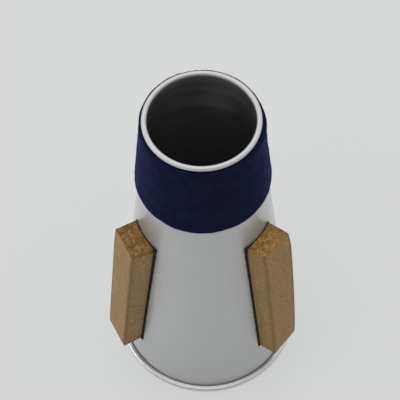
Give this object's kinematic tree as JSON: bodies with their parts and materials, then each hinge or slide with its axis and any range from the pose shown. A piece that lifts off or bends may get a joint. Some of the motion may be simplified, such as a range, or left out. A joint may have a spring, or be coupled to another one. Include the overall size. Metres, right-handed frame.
{
  "type": "flugelhorn straight mute",
  "caption": "Spun aluminium straight mute that wedges in a flugelhorn's bell on cork strips, with a rolled open tip, a felt sleeve and a closed wide end.",
  "frame": {"origin": "middle of the closing plate's underside, which the mute stands on", "axes": "+Z along the mute's axis, from the closed wide end to the open tip; -Y faces the camera of the picture"},
  "size_m": [0.0812, 0.0828, 0.15],
  "materials": {
    "spun_aluminium": "satin, turned",
    "plate_aluminium": "satin, turned",
    "navy_felt": "napped",
    "felt_glue": "matte film",
    "cork": "sanded agglomerate",
    "cork_glue": "matte film"
  },
  "bodies": {
    "root": {"cone_body": "spun_aluminium", "base_plate": "plate_aluminium", "tip_sleeve": "navy_felt", "sleeve_adhesive": "felt_glue", "cork_left": "cork", "cork_right": "cork", "cork_rear": "cork", "cork_left_adhesive": "cork_glue", "cork_right_adhesive": "cork_glue", "cork_rear_adhesive": "cork_glue"}
  },
  "joints": []
}
